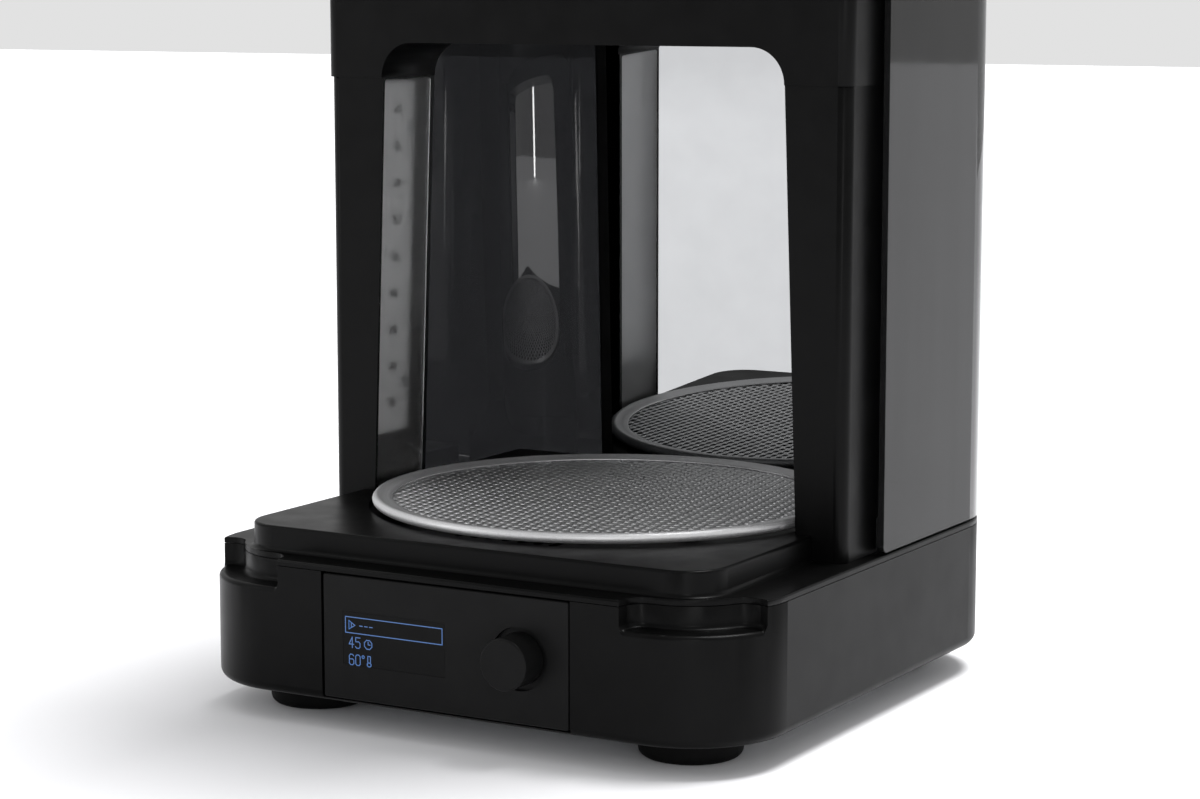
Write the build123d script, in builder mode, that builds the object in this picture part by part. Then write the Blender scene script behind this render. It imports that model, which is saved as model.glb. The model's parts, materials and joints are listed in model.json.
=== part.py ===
"""UV curing lamp: a square base with a control panel, a mesh turntable, two LED columns under an
arched head, a mirror on a rear spine, smoked rear shells and a smoked hood that swings up.

Millimetres, +Z up, front towards -Y. The origin is on the floor, on the turntable's axis.
"""

from build123d import *
import os

os.makedirs("parts", exist_ok=True)

# ---------------------------------------------------------------- driving dimensions
width = 262.0
corner = 42.0
foot_height = 12.0
foot_radius = 21.0
foot_offset = 89.0

wall = 3.0
housing_bottom = foot_height
housing_top = 65.6
deck_bottom = 65.9
lip_top = 68.3
rim_flange = 14.0
bottom_edge_radius = 4.2
half = width / 2

notch_radius = 31.0
notch_floor = 56.5
notch_start = -102.0
notch_sweep = 84.0
recess_foot_radius = 2.0

plateau_half = 110.5
plateau_front = -117.5
plateau_rear = 106.0
plateau_corner = 18.0
plateau_top = 79.0
well_radius = 102.8
well_floor = 76.0
deck_hollow_radius = 98.0
deck_hollow_top = 73.0

panel_half = 57.5
panel_bottom = 14.2
panel_top = 65.0
panel_thickness = 3.2
panel_gap = 0.9
panel_front = -half + 0.1
small_screw_radius = 1.7
small_head_radius = 3.2
small_head_height = 2.0
display_x = -23.5
display_z = 39.5
display_width = 49.0
display_height = 22.0
knob_x = 35.2
knob_z = 40.2
knob_radius = 10.5
knob_ring_radius = 12.8
knob_front = -143.0
knob_back = -129.8
knob_push_travel = 0.8
encoder_back = -117.0
encoder_shaft_radius = 3.0

table_radius = 101.3
bead_radius = 2.2
bead_centre_z = 81.9
mesh_radius = 92.6
mesh_bottom = 81.2
mesh_thickness = 1.0
crimp_radius = 95.5
crimp_thickness = 0.5
spider_bottom = 79.0
shaft_radius = 3.5

column_front = -26.4
column_rear = 13.6
column_outer = 125.0
column_foot_inner = 103.6
column_top_inner = 96.6
split_z = 260.5
column_edge_radius = 5.0
duct_x = 116.8
duct_y = -5.5
window_width = 36.4
window_height = 179.3
window_thickness = 1.8
window_recess = 0.2
window_y = -6.7
window_rise = 5.8
pocket_width = 35.0
pocket_height = 161.8
pocket_rise = 14.1
pocket_depth = 9.0
led_board_width = 28.0
led_board_height = 156.0
led_board_rise = 15.7
board_thickness = 1.6
led_pitch = 16.3
led_count = 9
duct_depth = 7.8
duct_wall = 3.2

head_half = 126.0
head_front = -27.4
head_rear = 105.8
head_top = 322.0
head_edge_radius = 5.5
head_wall = 4.0
arch_half = 96.8
arch_top = 275.5
arch_radius = 15.0
chamber_ceiling = 290.0
roof_top = 326.0
band_top = 331.0

spine_half = 64.0
spine_front = 106.0
spine_rear = 127.3
mirror_half = 56.5
mirror_thickness = 2.0
mirror_bottom = 79.2
mirror_top = 289.0
mirror_foot_y = 103.0
mirror_lean = 1.9

shell_wall = 3.5
shell_bottom = 69.3
shell_top = 321.7
shell_front = -1.0
shell_end = 55.0
shell_step_y = 26.0
shell_step_z = 84.0
shell_step_depth = 0.8
shell_ledge_top = 74.0

hood_wall = 3.0
lid_thickness = 3.0
hood_screw_bite = 1.8
hood_bottom = 69.5
hood_top_z = 334.0
hood_rear = -3.0
hinge_y = 120.0
hinge_z = 311.0
hinge_x = 85.0
hinge_arm_width = 12.0
hinge_pin_radius = 2.5
lid_rear = hinge_y - 25.0

running_gap = 0.05

# The hood stands open. In this frame its closed position is drawn, and it comes out raised 90 degrees.
hood_frame = Plane(origin=(0, hinge_y - hinge_z, hinge_z + hinge_y), x_dir=(1, 0, 0), z_dir=(0, 1, 0))

# Chamber-side face of the right-hand column, which leans in towards the top.
column_rise = split_z - lip_top
column_lean = column_foot_inner - column_top_inner
column_face = Plane(
    origin=((column_foot_inner + column_top_inner) / 2, window_y, (lip_top + split_z) / 2),
    x_dir=(0, -1, 0),
    z_dir=(-column_rise, 0, -column_lean),
)


def outline(inset, plane):
    """The base's rounded-square plan, drawn in by inset."""
    with BuildSketch(plane) as plan:
        RectangleRounded(width - 2 * inset, width - 2 * inset, corner - inset)
    return plan.sketch


def half_plane(plane, rear):
    """Everything in front of the line y = rear, as a wide rectangle."""
    with BuildSketch(plane) as area:
        with Locations((0, rear - width)):
            Rectangle(2 * width, 2 * width)
    return area.sketch


def corner_sector(side, inner, outer, start, sweep, plane, blend):
    """A ring sector about a front corner's centre; blend rounds its two inner corners."""
    centre = (side * foot_offset, -foot_offset)
    first = start if side > 0 else 180 - start - sweep
    with BuildSketch(plane) as sector:
        with BuildLine():
            inside = CenterArc(centre, inner, first, sweep)
            outside = CenterArc(centre, outer, first, sweep)
            Line(inside @ 0, outside @ 0)
            Line(inside @ 1, outside @ 1)
        make_face()
        if blend:
            ends = sector.vertices().sort_by(lambda v: (Vector(*v) - Vector(*centre, v.Z)).length)
            fillet(ends[:2], radius=blend)
    return sector.sketch


def mirrored(part):
    """The same piece on the other side of the machine."""
    with BuildPart() as other:
        mirror(part, about=Plane.YZ)
    return other.part


# ---------------------------------------------------------------- base housing
post_places = [(side * 108, y) for side in (-1, 1) for y in (-45, 60)]
post_radius = 5.0
case_screw_radius = 2.0
inlet_x = -70.0
inlet_z = 40.0

with BuildPart() as base_housing:
    extrude(outline(0, Plane.XY.offset(housing_bottom)), amount=housing_top - housing_bottom)
    fillet(base_housing.faces().sort_by(Axis.Z)[0].edges(), radius=bottom_edge_radius)
    cavity_floor = housing_bottom + 4
    extrude(outline(wall, Plane.XY.offset(cavity_floor)), amount=housing_top, mode=Mode.SUBTRACT)
    extrude(outline(rim_flange, Plane.XY.offset(0)), amount=housing_top, mode=Mode.SUBTRACT)
    # walls behind the finger recesses
    for side in (-1, 1):
        liner = corner_sector(side, 27.5, 41.5, -112, 104, Plane.XY.offset(notch_floor - 3), 0)
        extrude(liner, amount=housing_top - notch_floor + 3)
    for side in (-1, 1):
        floor_plane = Plane.XY.offset(notch_floor)
        recess = corner_sector(side, notch_radius, 52, notch_start, notch_sweep, floor_plane, 8)
        extrude(recess, amount=20, mode=Mode.SUBTRACT)
    recess_foot = (
        base_housing.edges()
        .filter_by_position(Axis.Z, notch_floor - 0.01, notch_floor + 0.01)
        .filter_by(lambda e: abs(e.center().X) > 60 and e.center().Y < -60)
        .filter_by(lambda e: max(abs(v.X) + abs(v.Y) for v in e.vertices()) < 2 * half - 20)
    )
    fillet(recess_foot, radius=recess_foot_radius)
    # thick front wall that holds the control panel
    with Locations((0, -half + 4.5, (housing_bottom + 2 + housing_top) / 2)):
        Box(2 * panel_half + 14, 6, housing_top - housing_bottom - 2)
    with Locations((0, -half, (panel_bottom + housing_top + 2) / 2)):
        Box(2 * (panel_half + panel_gap), 2 * (panel_thickness + 0.2), housing_top + 2 - panel_bottom + 1.4,
            mode=Mode.SUBTRACT)
    with Locations((display_x, -half + 5, display_z)):
        Box(display_width + 6, 12, display_height + 5, mode=Mode.SUBTRACT)
    with Locations((knob_x, -half + 5, knob_z)):
        Cylinder(4.2, 12, rotation=(90, 0, 0), mode=Mode.SUBTRACT)
    # screw posts and their ribs
    with Locations(*[(x, y, housing_bottom + 2) for x, y in post_places]):
        Cylinder(post_radius, deck_bottom - housing_bottom - 2, align=(Align.CENTER, Align.CENTER, Align.MIN))
    for side in (-1, 1):
        with Locations(*[(side * 119, y, 38) for y in (-45, 60)]):
            Box(20, 3, 44)
    with Locations(*[(x, y, 40) for x, y in post_places]):
        Cylinder(case_screw_radius + 0.3, 80, mode=Mode.SUBTRACT)
    # power inlet and exhaust slots in the rear wall
    with Locations((inlet_x, half, inlet_z)):
        Cylinder(6.0, 12, rotation=(90, 0, 0), mode=Mode.SUBTRACT)
    with BuildSketch(Plane.XZ.offset(-half - 1)):
        with GridLocations(9, 0, 9, 1):
            with Locations((30, 36)):
                SlotOverall(26, 3.5, rotation=90)
    extrude(amount=wall + 4, mode=Mode.SUBTRACT)
base_housing.part.label = "base_housing"
export_step(base_housing.part, "parts/base_housing.step")

# ---------------------------------------------------------------- bottom plate, feet and their screws
foot_places = [(x, y) for x in (-foot_offset, foot_offset) for y in (-foot_offset, foot_offset)]
foot_screw_radius = 2.0
plate_top = housing_bottom + 2

with BuildPart() as bottom_plate:
    extrude(outline(rim_flange + 0.4, Plane.XY.offset(housing_bottom)), amount=2)
    with Locations(*[(x, y, housing_bottom) for x, y in post_places + foot_places]):
        Cylinder(case_screw_radius + 0.3, 10, mode=Mode.SUBTRACT)
    with BuildSketch(Plane.XY.offset(housing_bottom - 1)):
        with Locations((0, 59)):
            with GridLocations(8, 0, 7, 1):
                SlotOverall(46, 4, rotation=90)
    extrude(amount=4, mode=Mode.SUBTRACT)
bottom_plate.part.label = "bottom_plate"
export_step(bottom_plate.part, "parts/bottom_plate.step")

with BuildPart() as rubber_feet:
    with Locations(*[(x, y, 0) for x, y in foot_places]):
        Cylinder(foot_radius, foot_height, align=(Align.CENTER, Align.CENTER, Align.MIN))
    fillet(rubber_feet.edges().group_by(Axis.Z)[0], radius=3.5)
    with Locations(*[(x, y, 0) for x, y in foot_places]):
        Cylinder(5.0, 6.0, align=(Align.CENTER, Align.CENTER, Align.MIN), mode=Mode.SUBTRACT)
        Cylinder(foot_screw_radius + 0.2, 40, mode=Mode.SUBTRACT)
rubber_feet.part.label = "rubber_feet"
export_step(rubber_feet.part, "parts/rubber_feet.step")


def pan_screws(places, head_z, radius, length, head_radius, head_height):
    """Screws driven upwards: the head's underside ends at head_z and the shank stands above it."""
    with BuildPart() as screws:
        with Locations(*[(x, y, head_z) for x, y in places]):
            Cylinder(radius, length, align=(Align.CENTER, Align.CENTER, Align.MIN))
        with Locations(*[(x, y, head_z - head_height) for x, y in places]):
            Cylinder(head_radius, head_height, align=(Align.CENTER, Align.CENTER, Align.MIN))
        with Locations(*[(x, y, head_z - head_height) for x, y in places]):
            Box(head_radius * 1.3, 0.8, 1.6, mode=Mode.SUBTRACT)
            Box(0.8, head_radius * 1.3, 1.6, mode=Mode.SUBTRACT)
    return screws.part


foot_screws = pan_screws(foot_places, 6.0, foot_screw_radius, 14, 3.8, 2.6)
foot_screws.label = "foot_screws"
export_step(foot_screws, "parts/foot_screws.step")

case_screws = pan_screws(post_places, housing_bottom, case_screw_radius, 55, 3.8, 2.4)
case_screws.label = "case_screws"
export_step(case_screws, "parts/case_screws.step")

# ---------------------------------------------------------------- deck
column_screw_places = [(side * duct_x, y) for side in (-1, 1) for y in (-19, 7)]
spine_screw_places = [(side * 50, 116.5) for side in (-1, 1)]

with BuildPart() as top_deck:
    extrude(outline(0, Plane.XY.offset(deck_bottom)), amount=lip_top - deck_bottom)
    fillet(top_deck.faces().sort_by(Axis.Z)[-1].edges(), radius=0.9)
    with BuildSketch(Plane.XY.offset(lip_top)) as plateau_plan:
        with Locations((0, (plateau_front + plateau_rear) / 2)):
            Rectangle(2 * plateau_half, plateau_rear - plateau_front)
        fillet(plateau_plan.vertices().group_by(Axis.Y)[0], radius=plateau_corner)
    extrude(amount=plateau_top - lip_top)
    foot_line = (
        top_deck.edges()
        .filter_by_position(Axis.Z, lip_top - 0.01, lip_top + 0.01)
        .filter_by(lambda e: abs(e.center().X) < plateau_half + 0.1)
        .filter_by(lambda e: plateau_front - 0.1 < e.center().Y < plateau_rear - 1)
    )
    fillet(foot_line, radius=2.0)
    top_face = top_deck.faces().sort_by(Axis.Z)[-1]
    top_line = top_face.edges().filter_by(lambda e: e.center().Y < plateau_rear - 1)
    fillet(top_line, radius=1.2)
    with BuildSketch(Plane.XY.offset(well_floor)):
        Circle(well_radius)
    extrude(amount=10, mode=Mode.SUBTRACT)
    with BuildSketch(Plane.XY.offset(deck_bottom - 1)):
        Circle(deck_hollow_radius)
    extrude(amount=deck_hollow_top - deck_bottom + 1, mode=Mode.SUBTRACT)
    # seats for the columns and their wiring and screw holes
    for side in (-1, 1):
        with Locations((side * (column_foot_inner - 0.7 + 13), (column_front + column_rear) / 2, lip_top)):
            Box(26, column_rear - column_front + 0.6, 30, align=(Align.CENTER, Align.CENTER, Align.MIN),
                mode=Mode.SUBTRACT)
        with Locations((side * duct_x, duct_y, 60)):
            Cylinder(4, 30, mode=Mode.SUBTRACT)
    with Locations(*[(x, y, 60) for x, y in column_screw_places + spine_screw_places]):
        Cylinder(2.0, 30, mode=Mode.SUBTRACT)
    # finger recesses
    for side in (-1, 1):
        recess = corner_sector(side, notch_radius, 52, notch_start, notch_sweep, Plane.XY.offset(60), 8)
        extrude(recess, amount=8.8, mode=Mode.SUBTRACT)
    # warm air outlet, return air inlet and the drive opening in the well's floor
    with BuildSketch(Plane.XY.offset(deck_hollow_top - 1)):
        Circle(12)
        with Locations((0, 59), (0, -59)):
            with GridLocations(7.5, 0, 7, 1):
                SlotOverall(52, 4, rotation=90)
    extrude(amount=6, mode=Mode.SUBTRACT)
    # blind holes for the case screws
    with Locations(*[(x, y, deck_bottom) for x, y in post_places]):
        Cylinder(case_screw_radius + 0.05, 2.6, mode=Mode.SUBTRACT)
top_deck.part.label = "top_deck"
export_step(top_deck.part, "parts/top_deck.step")

# ---------------------------------------------------------------- control panel
panel_back = panel_front + panel_thickness

with BuildPart() as control_panel:
    with BuildSketch(Plane.XZ.offset(-panel_back)):
        with Locations((0, (panel_bottom + panel_top) / 2)):
            RectangleRounded(2 * panel_half, panel_top - panel_bottom, 0.8)
    extrude(amount=panel_thickness)
    chamfer(control_panel.faces().sort_by(Axis.Y)[0].edges(), length=0.35)
    with BuildSketch(Plane.XZ.offset(-panel_front)):
        with Locations((display_x, display_z)):
            Rectangle(display_width, display_height)
    extrude(amount=-1.4, mode=Mode.SUBTRACT)
    with BuildSketch(Plane.XZ.offset(-panel_front)):
        with Locations((display_x, display_z)):
            Rectangle(display_width - 3, display_height - 3)
        with Locations((knob_x, knob_z)):
            Circle(3.9)
    extrude(amount=-panel_thickness - 1, mode=Mode.SUBTRACT)
    with BuildSketch(Plane.XZ.offset(-panel_front)):
        with Locations((knob_x, knob_z)):
            Circle(knob_ring_radius)
    extrude(amount=-2.2, mode=Mode.SUBTRACT)
control_panel.part.label = "control_panel"
export_step(control_panel.part, "parts/control_panel.step")

with BuildPart() as display_window:
    with BuildSketch(Plane.XZ.offset(-panel_front - 0.05)):
        with Locations((display_x, display_z)):
            Rectangle(display_width - 0.2, display_height - 0.2)
    extrude(amount=-1.25)
display_window.part.label = "display_window"
export_step(display_window.part, "parts/display_window.step")

with BuildPart() as display_module:
    with Locations((display_x, panel_back + 1.1, display_z)):
        Box(display_width - 4, 2.0, display_height - 4)
    with Locations((display_x, panel_back + 3.0, display_z)):
        Box(display_width + 4, 1.6, display_height + 3)
    with Locations((display_x, panel_back + 5.6, display_z - 9)):
        Box(20, 3.6, 3)
display_module.part.label = "display_module"
export_step(display_module.part, "parts/display_module.step")

# ---------------------------------------------------------------- rotary encoder and knob
encoder_front = -half + 7.5
rotor_radius = 5.0

with BuildPart() as encoder_body:
    with BuildSketch(Plane.XZ.offset(-encoder_back)):
        with Locations((knob_x, knob_z)):
            Rectangle(14, 14)
    extrude(amount=encoder_back - encoder_front)
    with BuildSketch(Plane.XZ.offset(-encoder_front)):
        with Locations((knob_x, knob_z)):
            Circle(3.8)
    extrude(amount=3.0)
    with BuildSketch(Plane.XZ.offset(-encoder_back + 1.4)):
        with Locations((knob_x, knob_z)):
            Circle(rotor_radius + running_gap)
    extrude(amount=encoder_back - encoder_front - 2.8, mode=Mode.SUBTRACT)
    with BuildSketch(Plane.XZ.offset(-encoder_back + 1.4)):
        with Locations((knob_x, knob_z)):
            Circle(encoder_shaft_radius + running_gap)
    extrude(amount=20, mode=Mode.SUBTRACT)
encoder_body.part.label = "encoder_body"
export_step(encoder_body.part, "parts/encoder_body.step")

with BuildPart() as encoder_rotor:
    with BuildSketch(Plane.XZ.offset(-encoder_back + 1.7)):
        with Locations((knob_x, knob_z)):
            Circle(rotor_radius)
            Circle(encoder_shaft_radius + running_gap, mode=Mode.SUBTRACT)
    extrude(amount=encoder_back - encoder_front - 3.4)
encoder_rotor.part.label = "encoder_rotor"
export_step(encoder_rotor.part, "parts/encoder_rotor.step")

with BuildPart() as encoder_shaft:
    with BuildSketch(Plane.XZ.offset(-encoder_back + 1.6 + knob_push_travel)):
        with Locations((knob_x, knob_z)):
            Circle(encoder_shaft_radius)
    extrude(amount=encoder_back - 1.6 - knob_push_travel + 139)
encoder_shaft.part.label = "encoder_shaft"
export_step(encoder_shaft.part, "parts/encoder_shaft.step")

with BuildPart() as knob:
    with BuildSketch(Plane.XZ.offset(-knob_back)):
        with Locations((knob_x, knob_z)):
            Circle(knob_radius)
    extrude(amount=knob_back - knob_front)
    fillet(knob.faces().sort_by(Axis.Y)[0].edges(), radius=0.9)
    with BuildSketch(Plane.XZ.offset(-knob_back)):
        with Locations((knob_x, knob_z)):
            Circle(encoder_shaft_radius + running_gap)
    extrude(amount=9.4, mode=Mode.SUBTRACT)
knob.part.label = "knob"
export_step(knob.part, "parts/knob.step")

# ---------------------------------------------------------------- turntable drive
motor_radius = 25.0
motor_bottom = 47.0
motor_top = 70.9

with BuildPart() as gear_motor:
    with BuildSketch(Plane.XY.offset(motor_bottom)):
        Circle(motor_radius)
    extrude(amount=motor_top - motor_bottom - 1)
    fillet(gear_motor.faces().sort_by(Axis.Z)[0].edges(), radius=1.5)
    with BuildSketch(Plane.XY.offset(motor_top - 1)):
        Circle(7)
    extrude(amount=3)
    with Locations((0, -motor_radius, motor_bottom + 9)):
        Box(16, 8, 9)
    with BuildSketch(Plane.XY.offset(motor_bottom + 14)):
        Circle(shaft_radius + running_gap)
    extrude(amount=20, mode=Mode.SUBTRACT)
gear_motor.part.label = "gear_motor"
export_step(gear_motor.part, "parts/gear_motor.step")

with BuildPart() as motor_bracket:
    with BuildSketch(Plane.XY.offset(motor_top - 1)):
        RectangleRounded(84, 50, 6)
        Circle(7.3, mode=Mode.SUBTRACT)
        with Locations((-36, 0), (36, 0)):
            Circle(1.8, mode=Mode.SUBTRACT)
    extrude(amount=1.6)
    with Locations((-36, 0, motor_top + 0.6), (36, 0, motor_top + 0.6)):
        Cylinder(4, deck_hollow_top - motor_top - 0.6, align=(Align.CENTER, Align.CENTER, Align.MIN))
        Cylinder(1.8, 10, mode=Mode.SUBTRACT)
motor_bracket.part.label = "motor_bracket"
export_step(motor_bracket.part, "parts/motor_bracket.step")

motor_screws = pan_screws(
    [(-36, 0), (36, 0)],
    motor_top - 1,
    small_screw_radius,
    deck_hollow_top - motor_top + 0.9,
    small_head_radius,
    small_head_height,
)
motor_screws.label = "motor_screws"
export_step(motor_screws, "parts/motor_screws.step")

with BuildPart() as drive_shaft:
    with BuildSketch(Plane.XY.offset(motor_bottom + 14.5)):
        Circle(shaft_radius)
    extrude(amount=80.2 - motor_bottom - 14.5)
drive_shaft.part.label = "drive_shaft"
export_step(drive_shaft.part, "parts/drive_shaft.step")

hub_dog_radius = 9.0

with BuildPart() as turntable_hub:
    with BuildSketch(Plane.XY.offset(74)):
        Circle(8)
    extrude(amount=4)
    with BuildSketch(Plane.XY.offset(well_floor + 0.8)):
        Circle(21)
    extrude(amount=spider_bottom - well_floor - 0.8)
    with BuildSketch(Plane.XY.offset(spider_bottom)):
        RegularPolygon(hub_dog_radius, 6)
    extrude(amount=1.9)
    with BuildSketch(Plane.XY.offset(70)):
        Circle(shaft_radius + running_gap)
    extrude(amount=10.3, mode=Mode.SUBTRACT)
turntable_hub.part.label = "turntable_hub"
export_step(turntable_hub.part, "parts/turntable_hub.step")

# ---------------------------------------------------------------- lift-off tray: spider, mesh and rim
with BuildPart() as turntable_spider:
    with BuildSketch(Plane.XY.offset(spider_bottom)):
        Circle(22)
        Circle(96)
        Circle(89, mode=Mode.SUBTRACT)
        Circle(22)
        with PolarLocations(0, 6, 30):
            with Locations((50, 0)):
                Rectangle(84, 7)
        RegularPolygon(hub_dog_radius + 0.4, 6, mode=Mode.SUBTRACT)
    extrude(amount=mesh_bottom - spider_bottom)
turntable_spider.part.label = "turntable_spider"
export_step(turntable_spider.part, "parts/turntable_spider.step")

with BuildPart() as turntable_mesh:
    with BuildSketch(Plane.XY.offset(mesh_bottom)):
        Circle(mesh_radius)
    extrude(amount=mesh_thickness)
    # pressed-flat edge that the rim is rolled over
    with BuildSketch(Plane.XY.offset(mesh_bottom)):
        Circle(crimp_radius)
    extrude(amount=crimp_thickness)
turntable_mesh.part.label = "turntable_mesh"
export_step(turntable_mesh.part, "parts/turntable_mesh.step")

bead_centre = table_radius - bead_radius
band_inner = mesh_radius + 0.2
band_bottom = mesh_bottom + crimp_thickness
band_inner_top = mesh_bottom + mesh_thickness + 0.7

with BuildPart() as turntable_rim:
    with BuildSketch(Plane.XZ):
        with Locations((bead_centre, bead_centre_z)):
            Circle(bead_radius)
        with BuildLine():
            Polyline(
                (band_inner, band_bottom),
                (band_inner, band_inner_top),
                (bead_centre, bead_centre_z + bead_radius),
                (bead_centre, band_bottom),
                close=True,
            )
        make_face()
    revolve(axis=Axis.Z)
turntable_rim.part.label = "turntable_rim"
export_step(turntable_rim.part, "parts/turntable_rim.step")

# ---------------------------------------------------------------- warm air unit under the deck
fan_y = 59.0
duct_half = 32.0
fan_half = 30.0
fan_bottom = 41.0
fan_height = 15.0

with BuildPart() as air_duct:
    with BuildSketch(Plane.XY.offset(fan_bottom - 2)):
        with Locations((0, fan_y)):
            Rectangle(2 * duct_half, 2 * duct_half)
            Rectangle(2 * fan_half + 0.4, 2 * fan_half + 0.4, mode=Mode.SUBTRACT)
    extrude(amount=deck_hollow_top - fan_bottom + 2)
air_duct.part.label = "air_duct"
export_step(air_duct.part, "parts/air_duct.step")

with BuildPart() as fan_frame:
    with BuildSketch(Plane.XY.offset(fan_bottom)):
        with Locations((0, fan_y)):
            RectangleRounded(2 * fan_half, 2 * fan_half, 3)
            Circle(28, mode=Mode.SUBTRACT)
    extrude(amount=fan_height)
    with BuildSketch(Plane.XY.offset(fan_bottom)):
        with Locations((0, fan_y)):
            Circle(12)
            with PolarLocations(0, 4, 45):
                with Locations((20, 0)):
                    Rectangle(22, 3)
    extrude(amount=2.5)
    with BuildSketch(Plane.XY.offset(fan_bottom - 1)):
        with Locations((0, fan_y)):
            Circle(1.5 + running_gap)
    extrude(amount=10, mode=Mode.SUBTRACT)
fan_frame.part.label = "fan_frame"
export_step(fan_frame.part, "parts/fan_frame.step")

with BuildPart() as fan_rotor:
    with BuildSketch(Plane.XY.offset(fan_bottom + 3.2)):
        with Locations((0, fan_y)):
            Circle(11.5)
            with PolarLocations(0, 7):
                with Locations((18.5, 0)):
                    SlotOverall(17.4, 3.0, rotation=14)
    extrude(amount=11)
    with BuildSketch(Plane.XY.offset(fan_bottom + 0.4)):
        with Locations((0, fan_y)):
            Circle(1.5)
    extrude(amount=3)
fan_rotor.part.label = "fan_rotor"
export_step(fan_rotor.part, "parts/fan_rotor.step")

with BuildPart() as heater_core:
    with BuildSketch(Plane.XY.offset(60)):
        with Locations((0, fan_y)):
            Rectangle(58, 58)
            with GridLocations(6, 0, 9, 1):
                Rectangle(3.6, 50, mode=Mode.SUBTRACT)
    extrude(amount=9)
    with Locations((-29.4, fan_y, 64.5), (29.4, fan_y, 64.5)):
        Box(1.2, 20, 6)
heater_core.part.label = "heater_core"
export_step(heater_core.part, "parts/heater_core.step")

# ---------------------------------------------------------------- electronics in the base
board_x = -68.0
board_y = 25.0
board_width = 60.0
board_length = 108.0
board_bottom = 24.0
board_top = board_bottom + 1.6
hole_span_x = board_width / 2 - 4
hole_span_y = board_length / 2 - 4
board_hole_places = [
    (board_x + i * hole_span_x, board_y + j * hole_span_y) for i in (-1, 1) for j in (-1, 1)
]

with BuildPart() as main_board:
    with BuildSketch(Plane.XY.offset(board_bottom)):
        with Locations((board_x, board_y)):
            RectangleRounded(board_width, board_length, 2)
        with Locations(*board_hole_places):
            Circle(1.7, mode=Mode.SUBTRACT)
    extrude(amount=1.6)
main_board.part.label = "main_board"
export_step(main_board.part, "parts/main_board.step")

with BuildPart() as board_standoffs:
    with Locations(*[(x, y, plate_top) for x, y in board_hole_places]):
        Cylinder(3, board_bottom - plate_top, align=(Align.CENTER, Align.CENTER, Align.MIN))
        Cylinder(1.5, board_top + 1 - plate_top, align=(Align.CENTER, Align.CENTER, Align.MIN))
    with Locations(*[(x, y, board_top + 0.1) for x, y in board_hole_places]):
        Cylinder(2.8, 1.6, align=(Align.CENTER, Align.CENTER, Align.MIN))
board_standoffs.part.label = "board_standoffs"
export_step(board_standoffs.part, "parts/board_standoffs.step")

with BuildPart() as board_components:
    with Locations((-84, 55, board_top), (-70, 55, board_top), (-56, 55, board_top)):
        Cylinder(5, 14, align=(Align.CENTER, Align.CENTER, Align.MIN))
    with Locations((-68, 22, board_top)):
        Box(30, 24, 12, align=(Align.CENTER, Align.CENTER, Align.MIN))
    with Locations((-50, -4, board_top), (-68, -4, board_top), (-86, -4, board_top)):
        Box(14, 8, 9, align=(Align.CENTER, Align.CENTER, Align.MIN))
    with Locations((-68, -18, board_top)):
        Box(12, 12, 1.4, align=(Align.CENTER, Align.CENTER, Align.MIN))
board_components.part.label = "board_components"
export_step(board_components.part, "parts/board_components.step")

with BuildPart() as power_inlet:
    with BuildSketch(Plane.XZ.offset(-half)):
        with Locations((inlet_x, inlet_z)):
            Circle(8)
    extrude(amount=-1.8)
    with BuildSketch(Plane.XZ.offset(-half)):
        with Locations((inlet_x, inlet_z)):
            Circle(5.8)
    extrude(amount=16)
    with BuildSketch(Plane.XZ.offset(-half - 1.8)):
        with Locations((inlet_x, inlet_z)):
            Circle(3.2)
            Circle(1.1, mode=Mode.SUBTRACT)
    extrude(amount=11, mode=Mode.SUBTRACT)
power_inlet.part.label = "power_inlet"
export_step(power_inlet.part, "parts/power_inlet.step")

with BuildPart() as cover_sensor:
    with Locations((0, -116, deck_bottom - 3.1)):
        Box(18, 6, 6)
cover_sensor.part.label = "cover_sensor"
export_step(cover_sensor.part, "parts/cover_sensor.step")

# ---------------------------------------------------------------- LED columns
led_row_x = -1.0
led_row_rise = 16.3
led_screw_radius = 1.25
led_screw_x = -10.2
led_screw_rise = (-40.5, 73.0)

with BuildPart() as right_column:
    with BuildSketch(Plane.XZ.offset(-column_rear)):
        with BuildLine():
            Polyline(
                (column_foot_inner, lip_top),
                (column_outer, lip_top),
                (column_outer, split_z),
                (column_top_inner, split_z),
                close=True,
            )
        make_face()
    extrude(amount=column_rear - column_front)
    upright = right_column.edges().filter_by(Axis.Z)
    fillet(upright.sort_by(Axis.Y)[0], radius=column_edge_radius)
    # shallow seat for the window, and a deep pocket behind it for the LED board
    with BuildSketch(column_face):
        with Locations((0, window_rise)):
            RectangleRounded(window_width, window_height, 1.5)
    extrude(amount=-window_recess - window_thickness, mode=Mode.SUBTRACT)
    with BuildSketch(column_face):
        with Locations((0, pocket_rise)):
            RectangleRounded(pocket_width, pocket_height, 1.5)
    extrude(amount=-pocket_depth, mode=Mode.SUBTRACT)
    with BuildSketch(column_face.offset(-pocket_depth + 1)):
        with Locations(*[(led_screw_x, rise) for rise in led_screw_rise]):
            Circle(led_screw_radius + 0.05)
    extrude(amount=-3.6, mode=Mode.SUBTRACT)
    # wiring duct, its outlet in the foot, and pilot holes for the screws from below
    with Locations((column_outer - duct_wall - duct_depth / 2, duct_y, 82)):
        Box(duct_depth, 27, split_z - 82, align=(Align.CENTER, Align.CENTER, Align.MIN), mode=Mode.SUBTRACT)
    with Locations((duct_x, duct_y, lip_top - 1)):
        Cylinder(4, 20, align=(Align.CENTER, Align.CENTER, Align.MIN), mode=Mode.SUBTRACT)
    with Locations((duct_x, -19, lip_top - 1), (duct_x, 7, lip_top - 1)):
        Cylinder(small_screw_radius + 0.05, 11, align=(Align.CENTER, Align.CENTER, Align.MIN),
                 mode=Mode.SUBTRACT)
right_column.part.label = "right_column"
export_step(right_column.part, "parts/right_column.step")

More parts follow.
